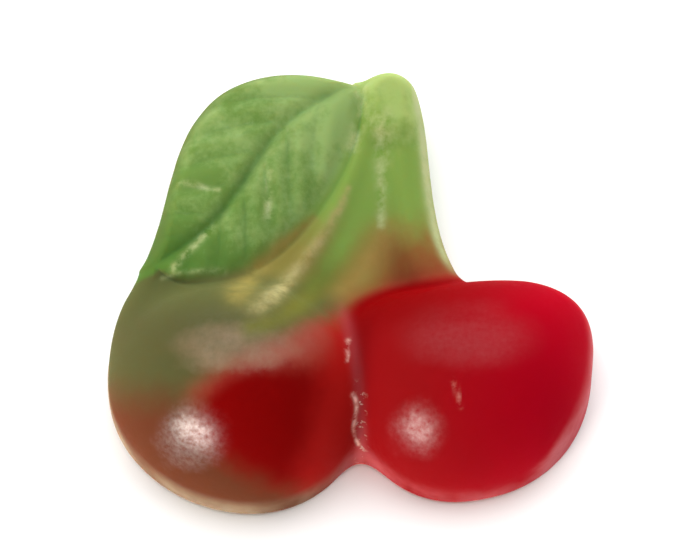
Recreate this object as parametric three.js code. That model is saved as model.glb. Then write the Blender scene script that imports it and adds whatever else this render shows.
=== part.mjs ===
// Gummy cherry sweet: two cherries, a leaf and two stems cast as one solid piece.
// Millimetres, +Z up. The flat cast base lies on z = 0 and the middle of the
// plan box is the origin. The leaf is at the back (+Y), the cherries in front.
import * as THREE from "three";

// ---- driving dimensions -----------------------------------------------------
// The forms are laid out in a plan whose origin is between the two cherries.
// A cherry is a dome on a low straight wall. Its plan is an oval that can be a
// little squarer than an ellipse (square > 2) and drawn out to three sides.
const CHERRY_LEFT = {
  x: -7.84, y: -8.88, halfLong: 9.2, halfWide: 7.78, turn: -0.146,
  square: 2.09, drawn: 0.057, drawnTurn: 0.636, height: 11.4,
};
const CHERRY_RIGHT = {
  x: 8.3, y: -8.09, halfLong: 8.84, halfWide: 7.42, turn: 0.151,
  square: 2.45, drawn: 0.12, drawnTurn: 0.58, height: 11.0,
};
const CHERRY_WALL = 3.0;            // height of the widest section of a cherry
const DRAWN_WITHIN = 1.6;           // further out, an oval is drawn out less and less
const PLAIN_BEYOND = 3.0;
const TINY = 1e-9;

// The stems, the leaf and the webs between them are one low plate. Its outline is
// the forms' common outline, its top carries their ridges and grooves.
const PLATE = { top: 5.3, edge: 1.5 };

// The right stem carries a thicker knob at its top end.
const STEM_RIGHT = {
  path: [[2.85, 13.3], [4.0, 9.9], [3.1, 3.4], [5.88, -1.43]],
  radiusTop: 2.0, radiusFoot: 2.15, crest: 6.5, ridgeHalf: 1.6,
};
const KNOB = { from: [2.8, 13.2, 1.55], to: [2.95, 10.9, 1.4], crest: 7.0 };

// The left stem is a thin ridge beside the leaf. On the back of the left cherry it
// goes on, lower, and fades to a point near the crown.
const STEM_LEFT = {
  path: [[1.6, 13.2], [-0.3, 5.6], [-2.9, 0.3], [-7.4, -6.2]],
  rise: 0.6, half: 0.9,
  climb: 0.45, climbFrom: 0.6, climbFull: 0.75,
};

// The leaf starts at the knob and its tip rests at the left cherry's shoulder.
const LEAF = {
  base: [0.36, 14.1], tip: [-14.0, 0.2],
  wideLeft: 6.66, peakLeft: 0.4, sharpLeft: 2.1,
  wideRight: 5.15, peakRight: 0.62, sharpRight: 1.1,
  crest: 6.0, crown: 0.9, crownWidth: 6.0, crownEnd: 1.2,
};
const VEINS = {
  bow: 0.9, shift: 0.4,             // the middle vein swings sideways, and lies left
  middleDepth: 0.36, middleHalf: 0.6,
  first: 0.14, spacing: 0.14,       // side veins, as shares of the leaf's length
  lean: 1.0, curl: 0.02,            // they run forwards as far as outwards, and bend
  swell: 0.18, swellFrom: 2.0,      // how far the leaf swells between side veins
};

// A groove parts the leaf's right side from the left stem and the left cherry.
const GROOVE = {
  depth: 0.5, half: 0.9, beside: 0.4, from: 0.3, full: 1.6,
  fadeFrom: 0.55, fadeTo: 0.85, least: 0.25,
};
const BORDER = 1.0;                 // leaf and knob rise over this far on both sides

// Webs fill the gaps between the stems, beside the leaf and behind the cherry.
const WEB_MIDDLE = { from: [1.3, 12.2, 2.4], to: [0.6, -3, 3.2] };
const WEB_GROOVE = { from: [0.5, 8, 3.0], to: [-3.0, -2, 4.5] };
const WEB_LEFT = { from: [-8, 4.2, 4.7], to: [-11, -3.9, 5.3] };

// Fillets are wide at the base and tighten upwards.
const FILLET_BASE = 3.3;
const FILLET_FADE = 7.0;            // height at which the base fillet is used up
const FILLET_LEAST = 0.6;
const FILLET_WEB = 1.5;
const FILLET_LEFT = 2.2;            // the left cherry runs softly into leaf and stems
const FILLET_RIGHT = 1.3;
const EDGE_ROUND = 0.5;             // rounding where the wall meets the base

// ---- mesh resolution --------------------------------------------------------
const CENTRE = [0.2, -5.0];         // on the crease between the cherries
const LEAF_RAYS = { from: 35, to: 172, count: 86 };
const CHERRY_RAYS = 56;
const RINGS = 35;
const WALL_LEVELS = [3.0, 1.6];
const OUTSIDE = 26;                 // a distance beyond the whole outline
const NEAREST = 1;                  // the outline is nowhere closer to the centre
const TOP_LIMIT = 13;               // a height above the whole form
const SEARCH_STEP = 0.4;            // the outline is bracketed in steps of this length
const HALVINGS = 32;
const CURVE_STEPS = 24;
const EVEN = { share: 0.6, reach: 1.15, fade: 0.5 };
const BASE_RING = 0.5;              // the flat base has one ring half way out

// ---- materials, read from the object's own colours --------------------------
const GUM = new THREE.MeshStandardMaterial({
  name: "gum", color: new THREE.Color(0.42, 0.02, 0.03), roughness: 0.3, metalness: 0,
});

// ---- plan helpers -----------------------------------------------------------
const clamp = (v, lo, hi) => Math.min(Math.max(v, lo), hi);

// Smooth union of two distances with a fillet of width k.
function blend(a, b, k) {
  const h = Math.max(k - Math.abs(a - b), 0) / k;
  return Math.min(a, b) - (h * h * k) / 4;
}

// Points along a cubic curve given by its four control points.
function chain(control) {
  const curve = new THREE.CubicBezierCurve(...control.map((p) => new THREE.Vector2(...p)));
  return curve.getPoints(CURVE_STEPS).map((p) => [p.x, p.y]);
}

// Distance from (x, y) to a chain of points, and how far along it (0 to 1).
function alongChain(x, y, points) {
  let best = Infinity, at = 0;
  for (let i = 0; i + 1 < points.length; i++) {
    const [ax, ay] = points[i];
    const dx = points[i + 1][0] - ax, dy = points[i + 1][1] - ay;
    const t = clamp(((x - ax) * dx + (y - ay) * dy) / (dx * dx + dy * dy), 0, 1);
    const d = Math.hypot(x - ax - t * dx, y - ay - t * dy);
    if (d < best) {
      best = d;
      at = (i + t) / (points.length - 1);
    }
  }
  return [best, at];
}

// Plan distance to a capsule whose radius changes from one end to the other.
function taper(x, y, from, to) {
  const dx = to[0] - from[0], dy = to[1] - from[1];
  const t = clamp(((x - from[0]) * dx + (y - from[1]) * dy) / (dx * dx + dy * dy), 0, 1);
  const d = Math.hypot(x - from[0] - t * dx, y - from[1] - t * dy);
  return d - (from[2] + (to[2] - from[2]) * t);
}

// A flat form of plan distance d, up to height top, with a rounded top edge.
function slab(d, z, top, edge) {
  const a = d + edge, b = z - top + edge;
  return Math.hypot(Math.max(a, 0), Math.max(b, 0)) + Math.min(Math.max(a, b), 0) - edge;
}

// ---- forms ------------------------------------------------------------------
// Each form is a signed distance in millimetres, negative inside.
function cherry(x, y, z, c) {
  const dx = x - c.x, dy = y - c.y;
  const cos = Math.cos(c.turn), sin = Math.sin(c.turn);
  const a = (dx * cos + dy * sin) / c.halfLong, b = (dy * cos - dx * sin) / c.halfWide;
  const oval = a * a + b * b;
  const squarer = (Math.abs(a) ** c.square + Math.abs(b) ** c.square) ** (2 / c.square);
  const mean = (c.halfLong + c.halfWide) / 2;
  const u = (dx * Math.cos(c.drawnTurn) + dy * Math.sin(c.drawnTurn)) / mean;
  const v = (dy * Math.cos(c.drawnTurn) - dx * Math.sin(c.drawnTurn)) / mean;
  const three = c.drawn * (u * u * u - 3 * u * v * v) * step(oval, PLAIN_BEYOND, DRAWN_WITHIN);
  const plan = oval + (squarer - oval) * Math.min(oval, 1) - three;
  const rise = c.height - CHERRY_WALL;
  const up = Math.max(z - CHERRY_WALL, 0) / rise;
  const q = Math.max(plan, 0);
  const near = Math.sqrt(q + up * up) + TINY;
  const slope = Math.sqrt(q / (mean * mean) + (up / rise) ** 2) + TINY;
  return (near * (near - 1)) / slope;
}

// A rounded rise that is 1 at distance 0 and fades out over a half width.
const bump = (distance, half) => Math.exp(-((distance / half) ** 2));

// A smooth step from 0 at lo to 1 at hi; it falls where lo is above hi.
function step(v, lo, hi) {
  const t = clamp((v - lo) / (hi - lo), 0, 1);
  return t * t * (3 - 2 * t);
}

const rightPath = chain(STEM_RIGHT.path);
const leftPath = chain(STEM_LEFT.path);
function stemRight(x, y) {
  const [d, t] = alongChain(x, y, rightPath);
  return d - STEM_RIGHT.radiusTop - (STEM_RIGHT.radiusFoot - STEM_RIGHT.radiusTop) * t;
}

// How far the left stem lifts the left cherry's surface at a plan point.
function climb(x, y) {
  const [d, t] = alongChain(x, y, leftPath);
  const end = clamp((1 - t) / (1 - STEM_LEFT.climbFull), 0, 1);
  const start = step(t, STEM_LEFT.climbFrom, STEM_LEFT.climbFull);
  return STEM_LEFT.climb * bump(d, STEM_LEFT.half) * start * Math.sqrt(end);
}

// Leaf coordinates: along its axis (0 base, 1 tip) and across, left side positive.
const leafLength = Math.hypot(LEAF.tip[0] - LEAF.base[0], LEAF.tip[1] - LEAF.base[1]);
const leafX = (LEAF.tip[0] - LEAF.base[0]) / leafLength;
const leafY = (LEAF.tip[1] - LEAF.base[1]) / leafLength;
function onLeaf(x, y) {
  const dx = x - LEAF.base[0], dy = y - LEAF.base[1];
  return [(dx * leafX + dy * leafY) / leafLength, dx * leafY - dy * leafX];
}

// Half width of one side of the leaf at s along it.
function halfLeaf(s, wide, peak, sharp) {
  const t = clamp(s, 0, 1);
  return wide * (t / peak) ** (peak * sharp) * ((1 - t) / (1 - peak)) ** ((1 - peak) * sharp);
}

function leaf(s, across) {
  const half = across > 0
    ? halfLeaf(s, LEAF.wideLeft, LEAF.peakLeft, LEAF.sharpLeft)
    : halfLeaf(s, LEAF.wideRight, LEAF.peakRight, LEAF.sharpRight);
  return Math.max(Math.abs(across) - half, Math.max(-s, s - 1) * leafLength);
}

function leafTop(s, across) {
  const turn = Math.PI * clamp(s, 0, 1);
  const vein = VEINS.bow * Math.sin(2 * turn) + VEINS.shift * Math.sin(turn);
  const w = Math.abs(across - vein);
  let top = LEAF.crest - LEAF.crown * clamp(w / LEAF.crownWidth, 0, LEAF.crownEnd) ** 2;
  top -= VEINS.middleDepth * bump(w, VEINS.middleHalf) * step(s, 0, VEINS.spacing);
  const course = s - (w * VEINS.lean + w * w * VEINS.curl) / leafLength;
  const phase = (course - VEINS.first) / VEINS.spacing;
  const swell = (1 - Math.cos(2 * Math.PI * phase)) / 2;
  return top + VEINS.swell * swell * clamp(w / VEINS.swellFrom, 0, 1);
}

// Height of the plate's top at a plan point.
function plateTop(x, y) {
  const [s, across] = onLeaf(x, y);
  const d = leaf(s, across);
  const stem = alongChain(x, y, rightPath)[0];
  let top = PLATE.top + (STEM_RIGHT.crest - PLATE.top) * bump(stem, STEM_RIGHT.ridgeHalf);
  top += STEM_LEFT.rise * bump(alongChain(x, y, leftPath)[0], STEM_LEFT.half);
  top += (leafTop(s, across) - top) * step(-d, -BORDER, BORDER);
  const rightSide = step(-across, GROOVE.from, GROOVE.full);
  const fade = 1 - (1 - GROOVE.least) * step(s, GROOVE.fadeFrom, GROOVE.fadeTo);
  top -= GROOVE.depth * bump(d - GROOVE.beside, GROOVE.half) * rightSide * fade;
  return top + (KNOB.crest - top) * step(-taper(x, y, KNOB.from, KNOB.to), -BORDER, BORDER);
}

const web = (x, y, w) => taper(x, y, w.from, w.to);

// The plate: the common outline of its forms, up to its top, with a rounded edge.
function plate(x, y, z, k) {
  let outline = blend(stemRight(x, y), taper(x, y, KNOB.from, KNOB.to), FILLET_LEAST);
  outline = blend(outline, leaf(...onLeaf(x, y)), k);
  const low = blend(web(x, y, WEB_GROOVE), web(x, y, WEB_LEFT), FILLET_WEB);
  outline = blend(outline, blend(low, web(x, y, WEB_MIDDLE), FILLET_WEB), Math.max(k, FILLET_WEB));
  return slab(outline, z, plateTop(x, y), PLATE.edge);
}

// The whole sweet: the plate and the two cherries, joined with fillets.
function sweet(x, y, z) {
  const k = Math.max(FILLET_BASE * (1 - z / FILLET_FADE), FILLET_LEAST);
  const left = cherry(x, y, z - climb(x, y), CHERRY_LEFT);
  const soft = blend(left, plate(x, y, z, k), Math.max(k, FILLET_LEFT));
  return blend(soft, cherry(x, y, z, CHERRY_RIGHT), Math.max(k, FILLET_RIGHT));
}

// ---- surface ----------------------------------------------------------------
// The last value between two limits that is still inside.
function halve(inside, from, to) {
  let lo = from, hi = to;
  for (let i = 0; i < HALVINGS; i++) {
    const mid = (lo + hi) / 2;
    if (inside(mid)) lo = mid;
    else hi = mid;
  }
  return lo;
}

// Distance from the centre to the outline along one direction at one height:
// the furthest crossing is bracketed in steps from outside, then halved.
function reach(cos, sin, z) {
  const at = (r) => sweet(CENTRE[0] + r * cos, CENTRE[1] + r * sin, z);
  let hi = OUTSIDE;
  while (hi > NEAREST && at(hi - SEARCH_STEP) > 0) hi -= SEARCH_STEP;
  return halve((r) => at(r) < 0, hi - SEARCH_STEP, hi);
}

// Height of the top surface over a plan point.
function heightAt(x, y, floor) {
  return halve((z) => sweet(x, y, z) < 0, floor, TOP_LIMIT);
}

// Directions of the mesh rays, close together over the leaf and the stems.
function rayAngles() {
  const { from, to, count } = LEAF_RAYS;
  const angles = [];
  for (let i = 0; i < count; i++) {
    angles.push(from + ((to - from) * i) / count);
  }
  for (let i = 0; i < CHERRY_RAYS; i++) {
    angles.push(to + ((360 + from - to) * i) / CHERRY_RAYS);
  }
  return angles.map((a) => (a * Math.PI) / 180);
}

// Share of even ring spacing on a ray: domes want their rings close together
// at the foot, the leaf and the stems want them spread over the whole width.
function evenShare(angle) {
  const middle = ((LEAF_RAYS.from + LEAF_RAYS.to) * Math.PI) / 360;
  const half = ((LEAF_RAYS.to - LEAF_RAYS.from) * Math.PI) / 360;
  const inside = (half * EVEN.reach - Math.abs(angle - middle)) / (half * EVEN.fade);
  return EVEN.share * clamp(inside, 0, 1);
}

// Closed surface: top rings from the centre out, wall, rounded edge, flat base.
function buildGeometry() {
  const angles = rayAngles();
  const outline = angles.map((a) => reach(Math.cos(a), Math.sin(a), CHERRY_WALL));
  const rings = [];
  for (let k = 1; k < RINGS; k++) {
    rings.push(angles.map((a, i) => {
      const even = evenShare(a), part = k / RINGS;
      const t = even * part + (1 - even) * Math.sin((part * Math.PI) / 2);
      const r = t * outline[i];
      const x = CENTRE[0] + r * Math.cos(a), y = CENTRE[1] + r * Math.sin(a);
      return [x, y, heightAt(x, y, CHERRY_WALL / 2)];
    }));
  }
  const level = (z, inset, height) => rings.push(angles.map((a) => {
    const r = reach(Math.cos(a), Math.sin(a), z) - inset;
    return [CENTRE[0] + r * Math.cos(a), CENTRE[1] + r * Math.sin(a), height];
  }));
  for (const z of WALL_LEVELS) level(z, 0, z);
  for (const turn of [0, Math.PI / 4, Math.PI / 2]) {
    level(EDGE_ROUND, EDGE_ROUND * (1 - Math.cos(turn)), EDGE_ROUND * (1 - Math.sin(turn)));
  }
  rings.push(rings[rings.length - 1].map(([x, y]) => [
    CENTRE[0] + (x - CENTRE[0]) * BASE_RING, CENTRE[1] + (y - CENTRE[1]) * BASE_RING, 0,
  ]));

  const n = angles.length;
  const points = [[...CENTRE, heightAt(...CENTRE, 0)], ...rings.flat(), [...CENTRE, 0]];
  const box = new THREE.Box3().setFromPoints(points.map((p) => new THREE.Vector3(...p)));
  const middle = box.getCenter(new THREE.Vector3());
  const faces = [];
  for (let i = 0; i < n; i++) {
    const j = (i + 1) % n;
    faces.push(0, 1 + i, 1 + j);
    for (let k = 0; k + 1 < rings.length; k++) {
      const a = 1 + k * n + i, b = 1 + k * n + j, c = a + n, d = b + n;
      // the shorter diagonal keeps the surface smooth across ridges
      const length = (p, q) => Math.hypot(...points[p].map((v, axis) => v - points[q][axis]));
      if (length(b, c) < length(a, d)) faces.push(a, c, b, b, c, d);
      else faces.push(a, c, d, a, d, b);
    }
    const last = 1 + (rings.length - 1) * n;
    faces.push(last + i, points.length - 1, last + j);
  }
  const geometry = new THREE.BufferGeometry();
  const flat = points.flatMap(([x, y, z]) => [x - middle.x, y - middle.y, z]);
  geometry.setAttribute("position", new THREE.Float32BufferAttribute(flat, 3));
  geometry.setIndex(faces);
  geometry.computeVertexNormals();
  return geometry;
}

// ---- the object -------------------------------------------------------------
const sweetGroup = new THREE.Group();
sweetGroup.name = "gummy_cherry_sweet";

const body = new THREE.Mesh(buildGeometry(), GUM);
body.name = "gummy";
sweetGroup.add(body);

export default sweetGroup;
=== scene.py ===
# %% [markdown]
# # A gummy cherry sweet
# Twin-cherry fruit gum: two cherries, a veined leaf and two stems, cast in one
# piece in a starch mould and laid flat, moulded side up. The construction file
# gives the solid; this lesson makes the soft cast skin, the colours that run
# into each other and the light. The forms are worked out in millimetres, and the
# finished piece is in metres in the solid's frame.

# %% Tools and the fixed frame
import math

import bmesh
import bpy
import numpy as np
from mathutils import Matrix, Vector


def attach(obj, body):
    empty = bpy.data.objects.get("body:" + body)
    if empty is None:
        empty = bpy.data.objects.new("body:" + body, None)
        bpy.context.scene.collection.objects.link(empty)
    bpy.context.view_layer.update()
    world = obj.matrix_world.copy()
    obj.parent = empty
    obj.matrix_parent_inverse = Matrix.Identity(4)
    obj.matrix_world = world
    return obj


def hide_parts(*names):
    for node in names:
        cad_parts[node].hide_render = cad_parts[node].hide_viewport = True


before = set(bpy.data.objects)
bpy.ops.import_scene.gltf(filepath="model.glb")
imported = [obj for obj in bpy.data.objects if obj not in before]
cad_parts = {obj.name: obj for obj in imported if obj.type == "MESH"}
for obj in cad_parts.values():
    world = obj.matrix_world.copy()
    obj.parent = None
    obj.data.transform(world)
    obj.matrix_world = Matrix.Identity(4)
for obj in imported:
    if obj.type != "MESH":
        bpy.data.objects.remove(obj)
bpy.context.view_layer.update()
MM = 0.001

# %% [markdown]
# ## Camera
# The photo looks down on the sweet from in front, 68 degrees above the table,
# with a long lens. The camera aims at the middle of the sweet and frames it with
# a margin, so that the sweet fills most of the picture's width.

# %% Camera
VIEW_ELEVATION = math.radians(68)
CAMERA_DISTANCE = 0.5
FRAME_WIDTH = 50 * MM
AIM = Vector((0.0, 0.3, 3.6)) * MM

to_camera = Vector((0, -math.cos(VIEW_ELEVATION), math.sin(VIEW_ELEVATION)))
camera_data = bpy.data.cameras.new("camera")
camera_data.sensor_width = 36
camera_data.lens = camera_data.sensor_width * CAMERA_DISTANCE / FRAME_WIDTH
camera_data.clip_start = 0.01
camera = bpy.data.objects.new("camera", camera_data)
camera.location = AIM + to_camera * CAMERA_DISTANCE
camera.rotation_euler = to_camera.to_track_quat("Z", "Y").to_euler()
bpy.context.collection.objects.link(camera)
bpy.context.scene.camera = camera
print("lens", round(camera_data.lens), "mm")

# %% [markdown]
# ## The cast form
# A starch mould gives soft round forms that melt into each other. Modelling them
# as loops of faces would need a seam wherever two forms meet. Instead each form
# is written as a signed distance, negative inside, and neighbours are joined by a
# smooth minimum, which rounds the joint like a moulded fillet. The sizes are the
# solid's own driving dimensions, in millimetres.

# %% Driving dimensions of the forms
CHERRY_LEFT = dict(x=-7.84, y=-8.88, long=9.2, wide=7.78, turn=-0.146,
                   square=2.09, drawn=0.057, drawn_turn=0.636, height=11.4)
CHERRY_RIGHT = dict(x=8.3, y=-8.09, long=8.84, wide=7.42, turn=0.151,
                    square=2.45, drawn=0.12, drawn_turn=0.58, height=11.0)
CHERRY_WALL = 3.0
DRAWN_WITHIN, PLAIN_BEYOND = 1.6, 3.0
PLATE = dict(top=5.3, edge=1.5)
STEM_RIGHT = dict(path=((2.85, 13.3), (4.0, 9.9), (3.1, 3.4), (5.88, -1.43)),
                  radius_top=2.0, radius_foot=2.15, crest=6.5, ridge_half=1.6)
KNOB = dict(start=(2.8, 13.2, 1.55), end=(2.95, 10.9, 1.4), crest=7.0)
STEM_LEFT = dict(path=((1.6, 13.2), (-0.3, 5.6), (-2.9, 0.3), (-7.4, -6.2)),
                 rise=0.6, half=0.9, climb=0.45, climb_from=0.6, climb_full=0.75)
STEM_STEPS = 24
LEAF = dict(base=(0.36, 14.1), tip=(-14.0, 0.2), crest=6.0, crown=0.9, crown_width=6.0,
            crown_end=1.2, left=(6.66, 0.4, 2.1), right=(5.15, 0.62, 1.1))
VEINS = dict(bow=0.9, shift=0.4, middle_depth=0.36, middle_half=0.6, first=0.14,
             spacing=0.14, lean=1.0, curl=0.02, swell=0.18, swell_from=2.0)
GROOVE = dict(depth=0.5, half=0.9, beside=0.4, start=0.3, full=1.6,
              fade_from=0.55, fade_to=0.85, least=0.25)
BORDER = 1.0
WEB_MIDDLE = ((1.3, 12.2, 2.4), (0.6, -3, 3.2))
WEB_GROOVE = ((0.5, 8, 3.0), (-3.0, -2, 4.5))
WEB_LEFT = ((-8, 4.2, 4.7), (-11, -3.9, 5.3))
FILLET_BASE, FILLET_FADE, FILLET_LEAST = 3.3, 7.0, 0.6
FILLET_WEB, FILLET_LEFT, FILLET_RIGHT = 1.5, 2.2, 1.3
EDGE_ROUND = 0.5
print("cherries", CHERRY_LEFT["height"], "and", CHERRY_RIGHT["height"], "mm high")

# %% [markdown]
# ## Distances on the plan
# Seen from above, leaf, stems and webs start as distances to their outlines, and the
# smooth minimum is the fillet. A stem follows a cubic curve that is cut into short
# straight runs, because the distance to a straight run is exact and quick to find. A
# web is a strip that widens from one end to the other, and a slab gives such an
# outline its height and a rounded top edge.

# %% Plan helpers
def blend(a, b, k):
    """Smooth union of two distances with a fillet of width k."""
    h = np.maximum(k - np.abs(a - b), 0) / k
    return np.minimum(a, b) - h * h * k / 4


def curve_points(path):
    """Points along a cubic curve given by its four control points."""
    t = np.linspace(0, 1, STEM_STEPS + 1)[:, None]
    p0, p1, p2, p3 = (np.array(p, float) for p in path)
    near_start = (1 - t) ** 3 * p0 + 3 * (1 - t) ** 2 * t * p1
    return near_start + 3 * (1 - t) * t * t * p2 + t ** 3 * p3


def along_chain(x, y, points):
    """Distance to a chain of points, and how far along it the nearest place is."""
    best, at = np.full(np.shape(x), np.inf), np.zeros(np.shape(x))
    for i, (start, end) in enumerate(zip(points[:-1], points[1:])):
        run = end - start
        t = np.clip(((x - start[0]) * run[0] + (y - start[1]) * run[1]) / (run @ run), 0, 1)
        d = np.hypot(x - start[0] - t * run[0], y - start[1] - t * run[1])
        at = np.where(d < best, (i + t) / (len(points) - 1), at)
        best = np.minimum(best, d)
    return best, at


def taper(x, y, start, end):
    """Plan distance to a capsule whose radius changes from one end to the other."""
    dx, dy = end[0] - start[0], end[1] - start[1]
    t = np.clip(((x - start[0]) * dx + (y - start[1]) * dy) / (dx * dx + dy * dy), 0, 1)
    d = np.hypot(x - start[0] - t * dx, y - start[1] - t * dy)
    return d - (start[2] + (end[2] - start[2]) * t)


def slab(d, z, top, edge):
    """A flat form of plan distance d up to height top, with a rounded top edge."""
    a, b = d + edge, z - top + edge
    outside = np.hypot(np.maximum(a, 0), np.maximum(b, 0))
    return outside + np.minimum(np.maximum(a, b), 0) - edge


# %% [markdown]
# ## Cherry, stem and leaf
# A cherry is a dome over a slightly squared oval. A stem is a round ridge along a
# curve. The leaf is a flat slab with a crown, a groove for the middle vein, and a
# skin that swells between the side veins. The side veins of the real mould are
# only a few tenths of a millimetre wide, so they are cut here, in the fine skin.

# %% Forms, split into what depends on the plan and what depends on height
FINE = dict(side_depth=0.05, side_half=0.18, middle_depth=0.1, middle_half=0.25,
            groove_depth=0.2, groove_half=0.25)
SIDE_VEIN_SLANT = 0.72    # turns a step along the leaf into one square to a side vein
SIDE_VEIN_START = 1.0     # mm from the middle vein to a side vein's full depth
SIDE_VEIN_END = 1.25      # a side vein fades over the outer leaf, by this less w / 5
SIDE_VEIN_FADE = 5.0
MIDDLE_SHADE_HALF = 0.5   # half width of the painted shade along the middle vein, mm
TINY = 1e-9               # keeps a division away from zero


def bump(distance, half):
    """A rounded rise: 1 at distance 0, fading out over a half width."""
    return np.exp(-(distance / half) ** 2)


def smooth(value, lo, hi):
    """A smooth step from 0 at lo to 1 at hi."""
    t = np.clip((value - lo) / (hi - lo), 0, 1)
    return t * t * (3 - 2 * t)


def oval(x, y, c):
    """A cherry's squared plan reach: 0 at its middle, 1 on its outline."""
    dx, dy = x - c["x"], y - c["y"]
    cos, sin = math.cos(c["turn"]), math.sin(c["turn"])
    a, b = (dx * cos + dy * sin) / c["long"], (dy * cos - dx * sin) / c["wide"]
    plain = a * a + b * b
    squarer = (np.abs(a) ** c["square"] + np.abs(b) ** c["square"]) ** (2 / c["square"])
    mean = (c["long"] + c["wide"]) / 2
    cos, sin = math.cos(c["drawn_turn"]), math.sin(c["drawn_turn"])
    u, v = (dx * cos + dy * sin) / mean, (dy * cos - dx * sin) / mean
    three = c["drawn"] * (u ** 3 - 3 * u * v * v) * smooth(plain, PLAIN_BEYOND, DRAWN_WITHIN)
    return np.maximum(plain + (squarer - plain) * np.minimum(plain, 1) - three, 0)


def dome(q, z, c):
    """Nearly the distance to a cherry whose oval value is q, at height z."""
    mean, rise = (c["long"] + c["wide"]) / 2, c["height"] - CHERRY_WALL
    up = np.maximum(z - CHERRY_WALL, 0) / rise
    near = np.sqrt(q + up * up) + TINY
    slope = np.sqrt(q / mean ** 2 + (up / rise) ** 2) + TINY
    return near * (near - 1) / slope


def leaf_place(x, y):
    """Leaf coordinates: 0 to 1 from base to tip, millimetres to the left, and length."""
    run = np.subtract(LEAF["tip"], LEAF["base"])
    length = np.hypot(*run)
    dx, dy = x - LEAF["base"][0], y - LEAF["base"][1]
    s = (dx * run[0] + dy * run[1]) / length ** 2
    return s, (dx * run[1] - dy * run[0]) / length, length


def half_leaf(s, side):
    """Half width of the leaf on one side: widest at its peak, pointed at both ends."""
    wide, peak, sharp = side
    t = np.clip(s, 0, 1)
    rising = (t / peak) ** (peak * sharp)
    falling = ((1 - t) / (1 - peak)) ** ((1 - peak) * sharp)
    return wide * rising * falling


def leaf_top(s, across, length):
    """Height of the leaf's skin, how deep in a side vein each place lies, and where the middle
    vein's painted shade lies.
    """
    turn = np.pi * np.clip(s, 0, 1)
    w = np.abs(across - VEINS["bow"] * np.sin(2 * turn) - VEINS["shift"] * np.sin(turn))
    fall = np.clip(w / LEAF["crown_width"], 0, LEAF["crown_end"]) ** 2
    top = LEAF["crest"] - LEAF["crown"] * fall
    start = smooth(s, 0, VEINS["spacing"])
    top -= VEINS["middle_depth"] * bump(w, VEINS["middle_half"]) * start
    top -= FINE["middle_depth"] * bump(w, FINE["middle_half"]) * start
    course = s - (w * VEINS["lean"] + w * w * VEINS["curl"]) / length
    phase = (course - VEINS["first"]) / VEINS["spacing"]
    swell = (1 - np.cos(2 * np.pi * phase)) / 2
    top += VEINS["swell"] * swell * np.clip(w / VEINS["swell_from"], 0, 1)
    d = (phase - np.round(phase)) * VEINS["spacing"] * length * SIDE_VEIN_SLANT
    reach = np.clip(w / SIDE_VEIN_START, 0, 1)
    reach *= np.clip(SIDE_VEIN_END - w / SIDE_VEIN_FADE, 0, 1)
    side = bump(d, FINE["side_half"]) * reach * (phase > -0.5)
    top -= FINE["side_depth"] * side
    return top, side, bump(w, MIDDLE_SHADE_HALF) * start


# %% [markdown]
# ## The whole skin as a height over the plan
# The leaf, the stems and the webs are one plate whose top is a relief, like the
# starch mould itself: ridges rise from it and a groove sinks into it. Every plan
# value is worked out once and kept in a small dictionary, called a survey here, so
# that only the height has to be searched.

# %% Survey of plan points, and the joined form
HALVINGS = 22
right_path, left_path = curve_points(STEM_RIGHT["path"]), curve_points(STEM_LEFT["path"])
print("stems follow", len(right_path), "and", len(left_path), "points")


def survey(x, y):
    """Everything about plan points that doesn't depend on their height."""
    right_d, right_t = along_chain(x, y, right_path)
    left_d, left_t = along_chain(x, y, left_path)
    s, across, length = leaf_place(x, y)
    half = np.where(across > 0, half_leaf(s, LEAF["left"]), half_leaf(s, LEAF["right"]))
    leaf = np.maximum(np.abs(across) - half, np.maximum(-s, s - 1) * length)
    knob = taper(x, y, KNOB["start"], KNOB["end"])
    leaf_z, side_vein, middle_vein = leaf_top(s, across, length)

    ridge = STEM_RIGHT["crest"] - PLATE["top"]
    top = PLATE["top"] + ridge * bump(right_d, STEM_RIGHT["ridge_half"])
    top += STEM_LEFT["rise"] * bump(left_d, STEM_LEFT["half"])
    top += (leaf_z - top) * smooth(-leaf, -BORDER, BORDER)
    groove = smooth(-across, GROOVE["start"], GROOVE["full"])
    groove *= 1 - (1 - GROOVE["least"]) * smooth(s, GROOVE["fade_from"], GROOVE["fade_to"])
    top -= GROOVE["depth"] * bump(leaf - GROOVE["beside"], GROOVE["half"]) * groove
    top -= FINE["groove_depth"] * bump(leaf - GROOVE["beside"], FINE["groove_half"]) * groove
    top += (KNOB["crest"] - top) * smooth(-knob, -BORDER, BORDER)

    start = smooth(left_t, STEM_LEFT["climb_from"], STEM_LEFT["climb_full"])
    ending = np.clip((1 - left_t) / (1 - STEM_LEFT["climb_full"]), 0, 1)
    fade = start * np.sqrt(ending)
    widening = STEM_RIGHT["radius_foot"] - STEM_RIGHT["radius_top"]
    r = STEM_RIGHT["radius_top"] + widening * right_t
    low = blend(taper(x, y, *WEB_GROOVE), taper(x, y, *WEB_LEFT), FILLET_WEB)
    return dict(
        cherry_left=oval(x, y, CHERRY_LEFT), cherry_right=oval(x, y, CHERRY_RIGHT),
        stems=blend(right_d - r, knob, FILLET_LEAST), leaf=leaf, top=top,
        webs=blend(low, taper(x, y, *WEB_MIDDLE), FILLET_WEB),
        climb=STEM_LEFT["climb"] * bump(left_d, STEM_LEFT["half"]) * fade,
        right_d=right_d, leaf_s=s, leaf_across=across,
        side_vein=side_vein, middle_vein=middle_vein)


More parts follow.
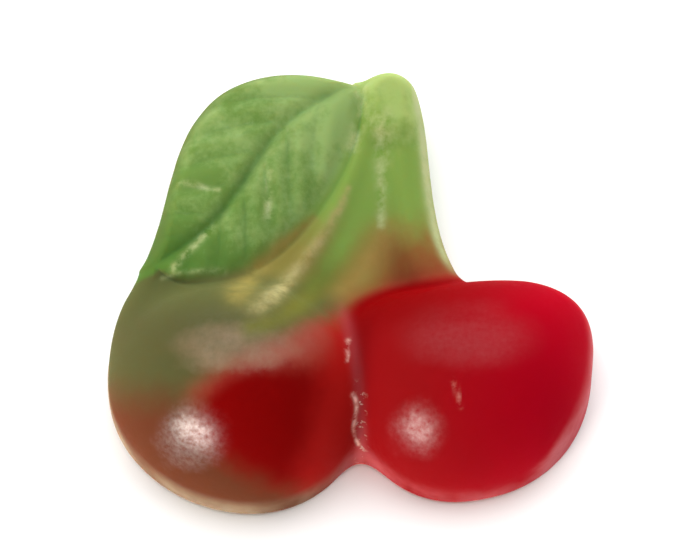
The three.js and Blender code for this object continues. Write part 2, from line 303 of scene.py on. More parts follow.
def sweet(p, z):
    """Signed distance to the whole sweet over surveyed plan points."""
    k = np.maximum(FILLET_BASE * (1 - z / FILLET_FADE), FILLET_LEAST)
    outline = blend(p["stems"], p["leaf"], k)
    outline = blend(outline, p["webs"], np.maximum(k, FILLET_WEB))
    plate = slab(outline, z, p["top"], PLATE["edge"])
    left = dome(p["cherry_left"], z - p["climb"], CHERRY_LEFT)
    soft = blend(left, plate, np.maximum(k, FILLET_LEFT))
    return blend(soft, dome(p["cherry_right"], z, CHERRY_RIGHT), np.maximum(k, FILLET_RIGHT))


def halve(inside, lo, hi):
    """The last value between two arrays of limits that is still inside."""
    for _ in range(HALVINGS):
        mid = (lo + hi) / 2
        keep = inside(mid)
        lo, hi = np.where(keep, mid, lo), np.where(keep, hi, mid)
    return lo


# %% [markdown]
# ## From a ball to the sweet
# The sweet is star-shaped seen from a point on the crease between the cherries:
# every ray in plan leaves the outline once. So a plain icosphere can be pulled
# onto it like clay. Its top cap becomes the moulded skin, a belt becomes the wall,
# and the bottom cap the flat base. First the outline is found along many rays, at
# a few heights of the wall.

# %% Outline radius of the sweet for every direction
CENTRE = np.array([0.2, -5.0])
RAYS = 1440
SEARCH_FROM, SEARCH_TO, SEARCH_STEP = 1.0, 26.0, 0.4
TOP_CAP, WALL_END = math.radians(118), math.radians(138)
ray_angles = np.linspace(-np.pi, np.pi, RAYS, endpoint=False)


def outline(z):
    """Distance from the centre to the outline at height z, along each ray."""
    cos, sin = np.cos(ray_angles), np.sin(ray_angles)

    def inside(r):
        plan_points = survey(CENTRE[0] + r * cos, CENTRE[1] + r * sin)
        return sweet(plan_points, np.full(RAYS, float(z))) < 0

    last = np.full(RAYS, SEARCH_FROM)
    for r in np.arange(SEARCH_FROM, SEARCH_TO, SEARCH_STEP):
        last = np.where(inside(np.full(RAYS, r)), r, last)
    return halve(inside, last, last + SEARCH_STEP)


LEVELS = (CHERRY_WALL, 2.2, 1.4, EDGE_ROUND)
outlines = [outline(z) for z in LEVELS]
print("outline reaches", round(outlines[0].min(), 2), "to", round(outlines[0].max(), 2), "mm")

# %% [markdown]
# ## The ball and its finer patch
# An icosphere spreads its points evenly and has no seam. A grid would bunch them up
# at its poles. The edges in the sector that becomes leaf and stems are divided once
# more, because the veins are finer than anything on the cherries. Dividing the whole
# ball once more instead would give over 300,000 faces.

# %% An icosphere with a finer patch for the leaf and the stems
FINE_FROM, FINE_TO = math.radians(32), math.radians(176)
FINE_DROP = math.radians(14)
BALL_LEVEL = 7


def cast_ball():
    """A ball of radius 1, divided once more where the leaf and the stems will be."""
    bm = bmesh.new()
    bmesh.ops.create_icosphere(bm, subdivisions=BALL_LEVEL, radius=1.0)
    chosen = []
    for e in bm.edges:
        middle = (e.verts[0].co + e.verts[1].co) / 2
        turn = math.atan2(middle.y, middle.x)
        drop = math.acos(max(-1, min(1, middle.z)))
        if FINE_FROM < turn < FINE_TO and FINE_DROP < drop < TOP_CAP:
            chosen.append(e)
    bmesh.ops.subdivide_edges(bm, edges=chosen, cuts=1, use_grid_fill=True)
    bmesh.ops.triangulate(bm, faces=bm.faces[:])
    return bm


ball = cast_ball()
print("ball has", len(ball.verts), "points and", len(ball.faces), "faces")

# %% [markdown]
# ## Pulling the skin into place
# Each point keeps its direction on the plan and gets a new distance and height. On
# the cap, the height is searched between the widest section of a cherry and a limit
# above the tallest one. Near the leaf the points are spread evenly, and elsewhere
# they gather towards the steep rims. The wall follows the outlines found above, and
# the base closes the skin with a small rounded edge. The result is centred on the
# middle of its own box, as the solid is.

# %% Pull the ball onto the form
TOP_LIMIT = 13.0
EVEN_SHARE = 0.7                    # how evenly the leaf's sector is spread
EVEN_END, EVEN_FADE = 1.15, 0.5     # where that ends, in half sectors
BEND_SHARE = 0.12                   # part of the bottom cap that makes the edge


def cap_height(x, y):
    """Height of the sweet's skin over plan points."""
    plan_points = survey(x, y)
    lowest, highest = np.full(len(x), CHERRY_WALL), np.full(len(x), TOP_LIMIT)
    return halve(lambda z: sweet(plan_points, z) < 0, lowest, highest)


def cap_reach(turn, part):
    """Share of the outline's radius at a share of the way down the cap."""
    middle, half = (FINE_FROM + FINE_TO) / 2, (FINE_TO - FINE_FROM) / 2
    away = np.abs((turn - middle + np.pi) % (2 * np.pi) - np.pi)
    even = EVEN_SHARE * np.clip((half * EVEN_END - away) / (half * EVEN_FADE), 0, 1)
    return even * part + (1 - even) * np.sin(part * np.pi / 2)


def wall(drop, radii):
    """Radius and height on the belt between the cap and the base."""
    belt = np.clip((drop - TOP_CAP) / (WALL_END - TOP_CAP), 0, 1)
    height = np.interp(belt, np.linspace(0, 1, len(LEVELS)), LEVELS)
    level = belt * (len(LEVELS) - 1)
    low = np.minimum(level.astype(int), len(LEVELS) - 2)
    share = level - low
    stack, columns = np.array(radii), np.arange(len(drop))
    return stack[low, columns] * (1 - share) + stack[low + 1, columns] * share, height


def base(drop, foot):
    """Radius and height on the bottom cap, from its rounded edge to its middle."""
    under = np.clip((drop - WALL_END) / (np.pi - WALL_END), 0, 1)
    bend = np.clip(under / BEND_SHARE, 0, 1) * np.pi / 2
    inward = 1 - np.clip((under - BEND_SHARE) / (1 - BEND_SHARE), 0, 1)
    return (foot - EDGE_ROUND * (1 - np.cos(bend))) * inward, EDGE_ROUND * (1 - np.sin(bend))


def pull(directions):
    """Places on the sweet, in millimetres, for unit directions on the ball."""
    turn = np.arctan2(directions[:, 1], directions[:, 0])
    drop = np.arccos(np.clip(directions[:, 2] / np.linalg.norm(directions, axis=1), -1, 1))
    radii = [np.interp(turn, ray_angles, o, period=2 * np.pi) for o in outlines]
    r = cap_reach(turn, np.clip(drop / TOP_CAP, 0, 1)) * radii[0]
    z = cap_height(CENTRE[0] + r * np.cos(turn), CENTRE[1] + r * np.sin(turn))
    wall_r, wall_z = wall(drop, radii)
    base_r, base_z = base(drop, radii[-1])
    r = np.where(drop > WALL_END, base_r, np.where(drop > TOP_CAP, wall_r, r))
    z = np.where(drop > WALL_END, base_z, np.where(drop > TOP_CAP, wall_z, z))
    return np.stack([CENTRE[0] + r * np.cos(turn), CENTRE[1] + r * np.sin(turn), z], axis=1)


directions = np.array([v.co for v in ball.verts])
places = pull(directions)
span = places.max(axis=0) + places.min(axis=0)
plan_shift = np.array([span[0] / 2, span[1] / 2, 0])
for v, place in zip(ball.verts, (places - plan_shift) * MM):
    v.co = place
print("cast skin", np.round(places.max(axis=0) - places.min(axis=0), 2), "mm")

# %% [markdown]
# ## Masks for the colours
# The gum is poured in colours that bleed into each other near the borders of the forms. Where a
# colour, or a painted light or shade, follows a form, its mask is worked out here from the same
# distances and kept on the mesh as an attribute, so that the material can read it. Stains and
# painted highlights that follow no form are soft brush strokes over the picture.

# %% Mesh object and its attributes
body_mesh = bpy.data.meshes.new("gummy_body")
ball.to_mesh(body_mesh)
ball.free()
body_mesh.shade_smooth()
body = bpy.data.objects.new("gummy_body", body_mesh)
bpy.context.collection.objects.link(body)

plan = survey(places[:, 0], places[:, 1])
height = places[:, 2]
to_left = dome(plan["cherry_left"], height, CHERRY_LEFT)
to_right = dome(plan["cherry_right"], height, CHERRY_RIGHT)
across_picture = places[:, 0]
up_picture = places[:, 1] * math.sin(VIEW_ELEVATION) + height * math.cos(VIEW_ELEVATION)


def stroke(path, wide, narrow):
    """A soft brush stroke along a curve over the picture, wide at its start."""
    d, t = along_chain(across_picture, up_picture, curve_points(path))
    return bump(d, wide + (narrow - wide) * t)


# Painted highlight streaks and glints: strength, path over the picture in millimetres, and half
# width at start and end.
HIGHLIGHT_STREAKS = (
    (1.0, ((2.2, 12.4), (2.3, 11.0), (2.3, 9.5), (2.2, 5.0)), 0.8, 0.3),
    (1.0, ((0.4, 15.2), (0.8, 14.2), (0.6, 12.5), (0.1, 10.5)), 0.6, 0.5),
    (1.0, ((-5.8, 9.4), (-5.8, 8.0), (-5.8, 7.0), (-5.9, 5.6)), 0.15, 0.3),
    (1.0, ((-12.4, 8.0), (-11.5, 8.1), (-10.4, 7.6), (-9.4, 7.5)), 0.3, 0.15),
    (1.0, ((-12.6, 1.9), (-11.6, 3.0), (-10.9, 3.8), (-9.8, 4.8)), 0.25, 0.25),
    (0.5, ((-13.4, 1.2), (-12.0, 1.75), (-10.8, 1.8), (-9.0, 1.7)), 0.15, 0.25),
)
# Painted glints in the crease between the cherries and on the right cherry.
GLINTS = (
    (1.0, ((0.2, -7.0), (0.9, -8.0), (-0.3, -9.0), (0.6, -10.6)), 0.14, 0.1),
    (1.0, ((-0.1, -3.2), (-0.4, -3.7), (0.0, -4.1), (-0.2, -4.6)), 0.16, 0.1),
    (0.3, ((7.1, -5.9), (7.5, -6.5), (7.5, -7.1), (7.7, -7.9)), 0.14, 0.1),
)
# The crest stroke is a painted highlight along the left stem's ridge.
CREST_HIGHLIGHT_PATH = ((-0.1, 7.6), (-0.9, 5.6), (-2.6, 2.6), (-6.6, -1.2))
HOLLOW_PATH = ((-2.6, 5.4), (-4.0, 4.3), (-6.2, 2.6), (-7.9, 0.2))
TONGUE_PATH = ((1.5, 8.0), (-1.0, 3.4), (-2.2, -1.4), (-6.9, -2.2))
PEACH_PATH = ((2.6, 4.2), (1.6, 2.6), (0.4, 0.6), (-2.2, -1.0))
TIP_WIDENING = 2.2     # the green spreads this far past the leaf's tip, mm
BLEED_REACH = 1.5      # how far the right cherry's red soaks into the stem, mm
EDGE_LIGHT_AT = 1.75    # painted light along the right stem's thin right edge, distance from its middle, mm
RIGHT_FROM = 4.4       # the painted edge light lies only beyond this place across


def strokes(table):
    """Several strokes added up."""
    return sum(strength * stroke(*rest) for strength, *rest in table)


right_side = across_picture > RIGHT_FROM
leaf, leaf_s, leaf_across = plan["leaf"], plan["leaf_s"], plan["leaf_across"]
near_tip = smooth(leaf_s, 0.72, 0.85) * smooth(leaf_across, -1.0, 0.5)
farther = np.maximum(to_left, to_right)
masks = dict(
    on_leaf=smooth(-leaf + near_tip * TIP_WIDENING, -0.5, 0.5) * smooth(to_left, -0.2, 0.9),
    # Painted shade and painted glints in some side veins; painted shade along the middle vein.
    side_vein=plan["side_vein"] * smooth(-leaf, 0.0, 0.8),
    middle_vein=plan["middle_vein"] * smooth(-leaf, 0.0, 0.8),
    # Painted shade along the leaf's rim.
    leaf_rim_shade=(1 - smooth(-leaf, -0.2, 1.3)) * smooth(leaf_across, -0.8, 1.5),
    # Painted highlight along the left stem's ridge.
    crest=stroke(CREST_HIGHLIGHT_PATH, 0.22, 0.7),
    hollow=stroke(HOLLOW_PATH, 0.35, 0.9),
    tongue=stroke(TONGUE_PATH, 1.2, 0.75),
    peach=stroke(PEACH_PATH, 1.3, 0.9),
    # Painted highlight streaks.
    highlight_streaks=strokes(HIGHLIGHT_STREAKS),
    # Painted glints.
    glints=strokes(GLINTS),
    in_left=1 - smooth(to_left, 0.1, 2.0),
    in_right=1 - smooth(to_right, 0.1, 1.0),
    bleed=np.exp(-np.maximum(to_right, 0) / BLEED_REACH),
    # Painted light along the right stem's thin edge.
    edge_light=bump(plan["right_d"] - EDGE_LIGHT_AT, 0.4) * right_side
    * smooth(places[:, 1], -1.0, 1.5),
    # Mask for the painted light and painted glints in the crease.
    crease=bump(to_left - to_right, 0.9) * (1 - smooth(farther, 0.2, 1.5)),
)
for name, values in masks.items():
    attribute = body_mesh.attributes.new(name, "FLOAT", "POINT")
    attribute.data.foreach_set("value", values.astype(np.float32))
print("masks", ", ".join(f"{n} {v.mean():.2f}" for n, v in masks.items()))

# %% [markdown]
# ## Shader maths in plain Python
# A small wrapper round a node socket lets masks be written as expressions. Every
# operator adds one Math node, so a line of arithmetic below is a chain of nodes.

# %% Socket wrapper
class Sock:
    """A node socket whose arithmetic adds Math nodes."""

    def __init__(self, tree, socket):
        self.tree, self.socket = tree, socket

    def node(self, kind, settings=None, out=0, **inputs):
        """Add any node: settings first, then socket values or links by name."""
        made = self.tree.nodes.new(kind)
        for key, value in (settings or {}).items():
            setattr(made, key, value)
        for key, value in inputs.items():
            numbered = key[0] == "i" and key[1:].isdigit()
            port = made.inputs[int(key[1:]) if numbered else key]
            if isinstance(value, Sock):
                self.tree.links.new(value.socket, port)
            else:
                port.default_value = value
        return Sock(self.tree, made.outputs[out])

    def math(self, operation, *values):
        slots = {f"i{n}": v for n, v in enumerate(values)}
        return self.node("ShaderNodeMath", {"operation": operation}, **slots)

    def __add__(self, other):
        return self.math("ADD", self, other)

    def __radd__(self, other):
        return self.math("ADD", other, self)

    def __sub__(self, other):
        return self.math("SUBTRACT", self, other)

    def __rsub__(self, other):
        return self.math("SUBTRACT", other, self)

    def __mul__(self, other):
        return self.math("MULTIPLY", self, other)

    def __rmul__(self, other):
        return self.math("MULTIPLY", other, self)

    def __truediv__(self, other):
        return self.math("DIVIDE", self, other)

    def __rtruediv__(self, other):
        return self.math("DIVIDE", other, self)

    def __pow__(self, other):
        return self.math("POWER", self, other)

    def larger(self, other):
        return self.math("MAXIMUM", self, other)

    def step(self, lo, hi):
        """0 below lo, 1 above hi, smooth between; falls instead if lo > hi."""
        smoothly = {"interpolation_type": "SMOOTHSTEP"}
        return self.node("ShaderNodeMapRange", smoothly, i0=self, i1=lo, i2=hi, i3=0.0, i4=1.0)

    def mix(self, a, b):
        """Colour a where this is 0, colour b where it is 1."""
        return self.node("ShaderNodeMix", {"data_type": "RGBA"}, out=2, i0=self, i6=a, i7=b)


def rgb(r, g, b):
    """A colour in linear light, as a socket wants it."""
    return (r, g, b, 1.0)


print("wrapper ready:", Sock.__doc__)

# %% [markdown]
# ## The colours of the gum
# The colours were read from the photo as a few named values: greens for leaf and stems, browns
# where green and red gum soaked into each other, and reds from dark to bright. Some values are
# painted light and shade instead: shade in veins and on the leaf's rim, highlights, glints and a
# sheen, lit sides, and pale light on thin rims, where light passes right through the gum.

# %% Named colours, linear
LEAF_GREEN = rgb(0.11, 0.195, 0.042)
LEAF_LIGHT = rgb(0.205, 0.30, 0.10)
# Painted shade in the leaf's vein grooves.
LEAF_VEIN_SHADE = rgb(0.045, 0.105, 0.018)
# Painted shade on the leaf's rounded side wall.
LEAF_RIM_SHADE = rgb(0.065, 0.095, 0.022)
LEAF_LOW = rgb(0.06, 0.135, 0.02)
STEM_PALE = rgb(0.27, 0.36, 0.11)
STEM_GREEN = rgb(0.156, 0.247, 0.050)
STEM_OLIVE = rgb(0.178, 0.152, 0.034)
STEM_BROWN = rgb(0.19, 0.055, 0.018)
GROOVE_BROWN = rgb(0.23, 0.185, 0.05)
# Pale painted light: glints on side veins, highlight streaks, and light along the right stem's
# thin edge.
PALE_LIGHT = rgb(0.34, 0.38, 0.18)
# Painted highlight on the left stem's crest.
CREST_HIGHLIGHT_BEIGE = rgb(0.31, 0.27, 0.115)
WEB_PEACH = rgb(0.26, 0.175, 0.05)
TONGUE_GREEN = rgb(0.115, 0.115, 0.02)
FOOT_RED = rgb(0.24, 0.02, 0.014)
SHOULDER = rgb(0.080, 0.086, 0.026)
OLIVE = rgb(0.072, 0.070, 0.023)
BROWN = rgb(0.10, 0.027, 0.011)
# Painted reflection of the ceiling light on the left cherry's back.
PAINTED_SHEEN = rgb(0.24, 0.16, 0.10)
DARK_RED = rgb(0.155, 0.0005, 0.0005)
BLOOD_RED = rgb(0.20, 0.001, 0.001)
# Painted light: the left cherry's side towards the crease, lifted out of its shade.
LIT_RED = rgb(0.29, 0.006, 0.005)
PINKISH = rgb(0.25, 0.045, 0.028)
DEEP_RED = rgb(0.17, 0.0, 0.0005)
RED = rgb(0.20, 0.003, 0.004)
# Crimson gum, brightened as painted light on the right cherry's side turned from the lamp.
LIT_CRIMSON = rgb(0.325, 0.0, 0.007)
# Painted light: pale pink on thin rims and in the crease.
PINK_LIGHT = rgb(0.45, 0.095, 0.105)
# Painted light: pale beige on the left cherry's thin rims.
BEIGE_RIM_LIGHT = rgb(0.27, 0.20, 0.13)
# Painted glint specks in the crease.
GLINT_WHITE = rgb(0.60, 0.52, 0.42)
# Colour of the painted glints.
GLINT = rgb(0.68, 0.40, 0.33)
print("leaf", LEAF_GREEN[:3], "and cherry", RED[:3])

# %% [markdown]
# ## Where the colours lie
# A poured gum has no sharp borders, so every border is a fade with two limits. They
# are measured as the photo shows them, in millimetres up the picture (v) and across
# it (u). Both are plain combinations of the sweet's own coordinates, so the colours
# stay on the sweet when the camera moves. Noise in three sizes bends the borders,
# breaks up the stains and makes the specks. Stains with a middle are ovals.

# %% Fades, ovals and noise
FADES = dict(
    low_leaf=(1.0, -7.0), vein_shade=(14.0, 7.0), pale_stem=(12.0, 17.0),
    olive_stem=(7.0, 2.6), brown_stem=(5.5, 0.5), brown_side=(0.8, 3.6),
    red_foot=(0.25, 0.9), grey_shoulder=(-5.0, -8.0), olive_to_shoulder=(-3.0, 1.0),
    brown_bottom=(-6.5, -10.5), pink_to_blood=(-1.5, -5.5), lit_side=(-2.5, 0.5),
    upper_border=(1.0, -1.6), lit_crimson_side=(-3.0, 9.0), deep_top=(-4.0, 1.5),
    green_tongue=(-0.5, 4.0), crest_highlight_end=(-2.4, 0.5), rim_height=(3.4, 0.8),
    right_lift=(4.0, 8.0), right_rim=(4.0, 7.0), left_rim=(-4.0, -9.0),
    beige_to_pink=(-3.5, 1.5), low_crease=(-8.0, -12.0), glinting_crease=(-5.5, -7.0),
    glint_speck=(0.08, 0.16), core=(1.5, 0.5), patch=(1.35, 0.55), painted_sheen=(1.6, 0.2),
    oily=(2.2, 0.1))
# Middle across and up the picture, half width and half height, in millimetres.
CORE = (-5.9, -9.2, 5.2, 4.4)
RED_PATCH = (-2.6, -7.4, 8.6, 6.6)
# Where the painted sheen lies on the left cherry's back.
PAINTED_SHEEN_PATCH = (-8.0, -3.2, 4.5, 1.6)
OILY_SPOTS = ((1.1, (-10.9, -9.7, 2.05, 2.05)), (0.6, (4.8, -9.4, 1.7, 1.7)))
OILY_BACKS = ((1.0, (8.4, -2.9, 4.2, 1.9)), (1.0, (-7.5, -3.0, 4.2, 1.9)))
WANDER_SCALE, CLOUD_SCALE, FINE_SCALE = 260.0, 620.0, 1900.0
DENT_SCALE, GRAIN_SCALE = 700.0, 2600.0


def oval_place(u, v, place):
    """Squared reach out from an oval stain: 0 in its middle, 1 on its edge."""
    u0, v0, wide, deep = place
    return ((u - u0) / wide) ** 2.0 + ((v - v0) / deep) ** 2.0


def fade(value, name):
    """0 to 1 over the limits of a named fade."""
    return value.step(*FADES[name])


class Skin:
    """The inputs that every colour of the skin is mixed from."""

    def __init__(self, tree):
        self.start = Sock(tree, None)
        self.where = self.start.node("ShaderNodeTexCoord", out=3)
        self.wander = self.noise(WANDER_SCALE, 3.0)
        self.cloud = self.noise(CLOUD_SCALE, 4.0, 0.65)
        self.fine = self.noise(FINE_SCALE, 3.0)
        x, y, self.z = (self.coordinate(n) for n in range(3))
        self.u = x + float(plan_shift[0]) + self.wander * 2.2
        rise = (y + float(plan_shift[1])) * math.sin(VIEW_ELEVATION)
        rise = rise + self.z * math.cos(VIEW_ELEVATION)
        self.v = rise + self.wander * 1.8 + self.fine * 0.5
        self.mask = {name: self.attribute(name) for name in masks}

    def noise(self, scale, detail, rough=0.6):
        """Noise around zero; scale counts its waves per metre."""
        settings = dict(Scale=scale, Detail=detail, Roughness=rough)
        return self.start.node("ShaderNodeTexNoise", i0=self.where, **settings) - 0.5

    def coordinate(self, n):
        """One of the sweet's own coordinates, in millimetres."""
        return self.start.node("ShaderNodeSeparateXYZ", out=n, i0=self.where) * 1000.0

    def attribute(self, name):
        """A mask kept on the mesh."""
        return self.start.node("ShaderNodeAttribute", {"attribute_name": name}, out=2)


print(len(FADES), "fades and", len(masks), "masks")

# %% [markdown]
# ## Leaf and stems
# The leaf is two greens in soft patches, darker towards its foot, with painted shade along the
# middle vein and the rim, and painted light towards the right. A few side veins carry painted
# shade and painted glints. The stems are pale at the knob and go through olive and brown to red
# where the right cherry bleeds in. Painted highlight streaks lie on stems and leaf, and painted
# light runs along the right stem's thin edge.

# %% Colours of the upper part
def leaf_colour(skin):
    """Patches of two greens with painted light to the right, a darker foot, painted shade on the
    rim and veins, and painted glints.
    """
    u, v, mask, cloud, wander = skin.u, skin.v, skin.mask, skin.cloud, skin.wander
    patches_and_light = cloud * 1.4 + wander * 2.6 + skin.fine + 0.3
    # The rise to the right is painted light, set against the shade on the leaf's slope down to the
    # groove. The leaf also gets lighter towards the top.
    patches_and_light = patches_and_light + (u + 9.0) * 0.05 + (v - 8.0) * 0.08
    leaf = patches_and_light.mix(LEAF_GREEN, LEAF_LIGHT)
    foot = fade(v - 9.0 + (u + 14.0) * 0.6 + cloud * 6.0, "low_leaf")
    leaf = (foot * 0.85).mix(leaf, LEAF_LOW)
    # Painted shade on the leaf's rim.
    leaf = (mask["leaf_rim_shade"] * 0.75).mix(leaf, LEAF_RIM_SHADE)
    # Painted shade along the middle vein's groove, and in some side veins below.
    vein_shade_amount = fade(v, "vein_shade") * 0.45 + 0.1 + wander * 2.0
    leaf = (mask["middle_vein"] * vein_shade_amount).mix(leaf, LEAF_VEIN_SHADE)
    leaf = (mask["side_vein"] * (cloud * 3.0)).mix(leaf, LEAF_VEIN_SHADE)
    # Painted glints on the walls of some side veins.
    return (mask["side_vein"] * (cloud * -4.0 - 0.3)).mix(leaf, PALE_LIGHT)


def stem_colour(skin):
    """Pale knob, green, olive and brown stems, the webs between them, and painted light on the
    right stem's edge.
    """
    u, v, mask, cloud, wander = skin.u, skin.v, skin.mask, skin.cloud, skin.wander
    stem = fade(v + u * 0.6 + cloud * 8.0, "pale_stem").mix(STEM_GREEN, STEM_PALE)
    stem = fade(v + wander * 3.0, "olive_stem").mix(stem, STEM_OLIVE)
    stem = (mask["peach"] * (cloud + 0.75)).mix(stem, WEB_PEACH)
    brown = fade(v + wander * 4.0, "brown_stem") * fade(u, "brown_side")
    stem = brown.mix(stem, STEM_BROWN)
    stem = fade(mask["bleed"], "red_foot").mix(stem, FOOT_RED)
    # Painted light along the right stem's thin edge.
    stem = (mask["edge_light"] * (cloud * 1.5 + 0.9)).mix(stem, PALE_LIGHT)
    return fade(u, "grey_shoulder").mix(stem, SHOULDER)


print("leaf foot fades over", FADES["low_leaf"], "mm")

# %% [markdown]
# ## The two cherries
# The left cherry is half green gum: an olive shoulder and a brown bottom round a red patch that is
# darkest in its middle, with a painted lit side and a painted milky sheen on its back. The right
# one is all red, deeper at the top and crimson towards the right, where painted light brightens
# it. Both get painted light on their thin rims near the table.

# %% Colours of the cherries
def left_colour(skin):
    """Olive and brown gum round a red patch, a painted lit side and a painted milky sheen on the
    back.
    """
    u, v = skin.u, skin.v
    slant = v - u * 0.52
    olive = fade(v, "olive_to_shoulder").mix(OLIVE, SHOULDER)
    olive = fade(v + u * 0.1, "brown_bottom").mix(olive, BROWN)
    red = fade(slant, "pink_to_blood").mix(PINKISH, BLOOD_RED)
    red = fade(oval_place(u, v, CORE), "core").mix(red, DARK_RED)
    # Painted light lifts the shaded side towards the crease.
    red = fade(u - v * 0.2, "lit_side").mix(red, LIT_RED)
    patch = fade(oval_place(u, v, RED_PATCH), "patch") * fade(slant, "upper_border")
    left = patch.mix(olive, red)
    # Painted milky reflection on the left cherry's back.
    painted_sheen = fade(oval_place(u, v - u * 0.05, PAINTED_SHEEN_PATCH), "painted_sheen")
    return (painted_sheen * (skin.cloud + 0.45)).mix(left, PAINTED_SHEEN)


def right_colour(skin):
    """Reds from deep to crimson, the crimson brightened with painted light."""
    u, v = skin.u, skin.v
    # Crimson towards the right, brightened there as painted light for the side turned from the
    # lamp.
    right = fade(u - 6.0, "lit_crimson_side").mix(RED, LIT_CRIMSON)
    return fade(v + 1.0 - u * 0.3, "deep_top").mix(right, DEEP_RED)


# Painted light on the thin rims, where light passes through the gum.
def rim_light_amount(skin):
    """How much painted light the thin gum near the table gets; it reaches higher on the right."""
    from_right = skin.u - 8.0
    height = skin.z - fade(from_right, "right_lift") * 2.6
    amount = fade(from_right, "right_rim") * 0.5 + 0.35
    amount = amount + fade(skin.u, "left_rim") * 0.45 + skin.wander * 2.0
    return fade(height, "rim_height") * amount


print("cherries: core", CORE, "painted_sheen", PAINTED_SHEEN_PATCH)

# %% [markdown]
# ## Everything over each other
# The parts are laid over each other in the order in which they cover: leaf over stem, left cherry,
# the left stem's stains with a painted highlight on its crest and painted highlight streaks, right
# cherry, and painted light on the rims and in the crease. Last come painted glint specks in the
# crease and, over them, the painted glints.

# %% The whole colour
def gum_colour(skin):
    """All parts, stains and painted light laid over each other."""
    v, mask, cloud = skin.v, skin.mask, skin.cloud
    colour = mask["on_leaf"].mix(stem_colour(skin), leaf_colour(skin))
    colour = mask["in_left"].mix(colour, left_colour(skin))
    colour = (mask["hollow"] * (cloud * 1.5 + 0.8)).mix(colour, GROOVE_BROWN)
    tongue = fade(v, "green_tongue").mix(TONGUE_GREEN, STEM_GREEN)
    colour = (mask["tongue"] * (cloud + 0.95)).mix(colour, tongue)
    # Painted highlight along the left stem's ridge.
    crest = mask["crest"] * (cloud * 2.5 + 0.75) * fade(v, "crest_highlight_end")
    colour = crest.mix(colour, CREST_HIGHLIGHT_BEIGE)
    # Painted highlight streaks on the stems, the knob and the leaf's veins.
    colour = (mask["highlight_streaks"] * (cloud * 3.6 + 0.36)).mix(colour, PALE_LIGHT)
    colour = mask["in_right"].mix(colour, right_colour(skin))

    on_cherry = mask["in_left"].larger(mask["in_right"])
    # Painted light on the cherries' thin rims near the table.
    rim_light = fade(skin.u, "beige_to_pink").mix(BEIGE_RIM_LIGHT, PINK_LIGHT)
    colour = (rim_light_amount(skin) * on_cherry).mix(colour, rim_light)
    # Painted light in the crease between the cherries, stronger low down.
    crease_light = mask["crease"] * (fade(v, "low_crease") * 0.55 + 0.22)
    colour = crease_light.mix(colour, PINK_LIGHT)
    # Painted glint specks in the crease, where the gum catches the light.
    glint_specks = mask["crease"] * fade(v, "glinting_crease") * fade(skin.fine, "glint_speck")
    colour = (glint_specks * 0.6).mix(colour, GLINT_WHITE)
    # Painted glints over everything.
    return (mask["glints"] * (cloud * 6.0 + 0.8)).mix(colour, GLINT)


print(len(HIGHLIGHT_STREAKS), "streaks and", len(GLINTS), "glints lie on top")

# %% [markdown]
# ## The gum
# Gelatine gum is cloudy: light enters, scatters and comes out a millimetre or so
# away, which softens every edge. So most of the base is subsurface scattering, and
# red light travels farthest. The cast skin itself is dull from the starch. It only
# shines where it is oily, in a spot on each cherry and faintly on their backs, and
# there a clear coat lies over it. Fine grain and shallow dents roughen it all.

# %% Gum material
def oily_patches(skin, table):
    """Several oily ovals added up, each with its own strength."""
    amount = 0.0
    for strength, place in table:
        amount = fade(oval_place(skin.u, skin.v, place), "oily") * strength + amount
    return amount


def gum_material():
    """The cloudy gum with its oily patches."""
    material = bpy.data.materials.new("gum skin")
    material.use_nodes = True
    tree = material.node_tree
    tree.nodes.clear()
    shader = tree.nodes.new("ShaderNodeBsdfPrincipled")
    out = tree.nodes.new("ShaderNodeOutputMaterial")
    tree.links.new(shader.outputs[0], out.inputs[0])
    skin = Skin(tree)
    grain, dents = skin.noise(GRAIN_SCALE, 3.0), skin.noise(DENT_SCALE, 2.0)
    relief = grain * 0.6 + dents * 0.5
    spots = oily_patches(skin, OILY_SPOTS) * (grain * 3.0 + 1.0)
    backs = oily_patches(skin, OILY_BACKS) * (grain * 0.5 + 0.24)
    varying = {
        "Base Color": gum_colour(skin),
        "Roughness": grain * 0.3 + dents * 0.2 + 0.7,
        "Normal": skin.start.node("ShaderNodeBump", Strength=0.3, Distance=0.00006, Height=relief),
        "Coat Weight": spots + backs,
    }
    for name, value in varying.items():
        tree.links.new(value.socket, shader.inputs[name])
    constant = {
        "IOR": 1.45, "Specular IOR Level": 0.02,
        "Coat Roughness": 0.3, "Coat IOR": 1.45,
        "Subsurface Weight": 0.85, "Subsurface Scale": 0.0014,
        "Subsurface Radius": (1.0, 0.45, 0.3),
    }
    for name, value in constant.items():
        shader.inputs[name].default_value = value
    print("gum material:", len(tree.nodes), "nodes")
    return material


body_mesh.materials.append(gum_material())
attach(body, "root")
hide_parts("gummy")
print("body", len(body_mesh.polygons), "faces")

# %% [markdown]
# ## Table
# The sweet lies on a plain white table, which is set a hair below its base so that
# the two faces don't fight for the same place. It only has to catch a soft shadow.

# %% Table
TABLE_HALF = 3.0
TABLE_GAP = 0.02 * MM


def make_table():
    """A large white plane for the floor, on the stage."""
    bm = bmesh.new()
    bmesh.ops.create_grid(bm, x_segments=1, y_segments=1, size=TABLE_HALF)
    mesh = bpy.data.meshes.new("table")
    bm.to_mesh(mesh)
    bm.free()
    mesh.transform(Matrix.Translation((0, 0, -TABLE_GAP)))
    material = bpy.data.materials.new("table")
    material.use_nodes = True
    surface = material.node_tree.nodes["Principled BSDF"].inputs
    surface["Base Color"].default_value = rgb(0.9, 0.9, 0.9)
    surface["Roughness"].default_value = 0.7
    mesh.materials.append(material)
    table = bpy.data.objects.new("table", mesh)
    bpy.context.collection.objects.link(table)
    return table


print("table", [round(side, 1) for side in make_table().dimensions], "m")

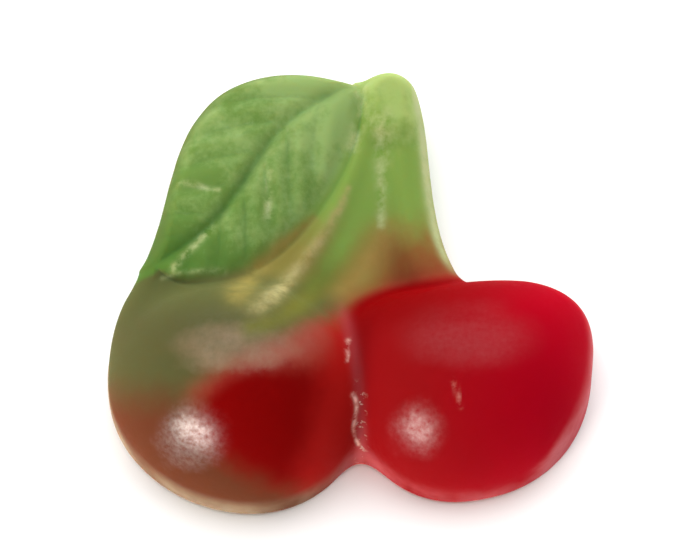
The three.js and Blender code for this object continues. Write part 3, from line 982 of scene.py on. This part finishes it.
# %% [markdown]
# ## Lamps
# The photo's highlights tell the light. A warm panel low in front on the left makes
# one bright spot on each cherry. A wide one above and behind lights the sweet from
# the top and makes the faint sheen over the cherries' backs.

# %% Lamps
def softbox(name, direction, distance, size, radiance, colour=(1, 1, 1)):
    """A rectangular area light that looks at the sweet; power follows its radiance."""
    data = bpy.data.lights.new(name, "AREA")
    data.shape = "RECTANGLE"
    data.size, data.size_y = size
    data.energy = radiance * math.pi * size[0] * size[1]
    data.color = colour
    lamp = bpy.data.objects.new(name, data)
    toward = Vector(direction).normalized()
    lamp.location = toward * distance
    lamp.rotation_euler = toward.to_track_quat("Z", "Y").to_euler()
    bpy.context.collection.objects.link(lamp)
    print(name, round(data.energy, 2), "W")


softbox("window", direction=(-0.62, -0.76, 0.19), distance=0.5, size=(0.21, 0.21),
        radiance=22, colour=(1, 0.93, 0.84))
softbox("ceiling panel", direction=(0, 0.37, 0.93), distance=0.8, size=(1.3, 0.8),
        radiance=2.2)

# %% [markdown]
# ## Room
# A pale room behind the table and a dark one in front. The fade between them keeps
# the cherries' fronts deep red while their backs stay light.

# %% Room
ROOM_FADE = (-0.25, 0.25)
ROOM_LIGHT, ROOM_DARK = 1.15, 0.1
ROOM_SLOPE = 0.23       # how much the height counts beside the depth


def make_room():
    """Light from the world around: pale behind the sweet, dark in front."""
    world = bpy.data.worlds.new("room")
    world.use_nodes = True
    tree = world.node_tree
    background = tree.nodes["Background"]
    background.inputs["Color"].default_value = rgb(1, 1, 1)
    start = Sock(tree, None)
    where = start.node("ShaderNodeTexCoord", out=0)
    depth, rise = (start.node("ShaderNodeSeparateXYZ", out=n, i0=where) for n in (1, 2))
    strength = (depth + rise * ROOM_SLOPE).step(*ROOM_FADE) * ROOM_LIGHT + ROOM_DARK
    tree.links.new(strength.socket, background.inputs["Strength"])
    bpy.context.scene.world = world


make_room()
bpy.context.scene.view_settings.view_transform = "Standard"
print("room light from", ROOM_DARK, "to", ROOM_LIGHT + ROOM_DARK)

# %% The finished size
print("sweet measures", [round(side, 5) for side in body.dimensions], "m")
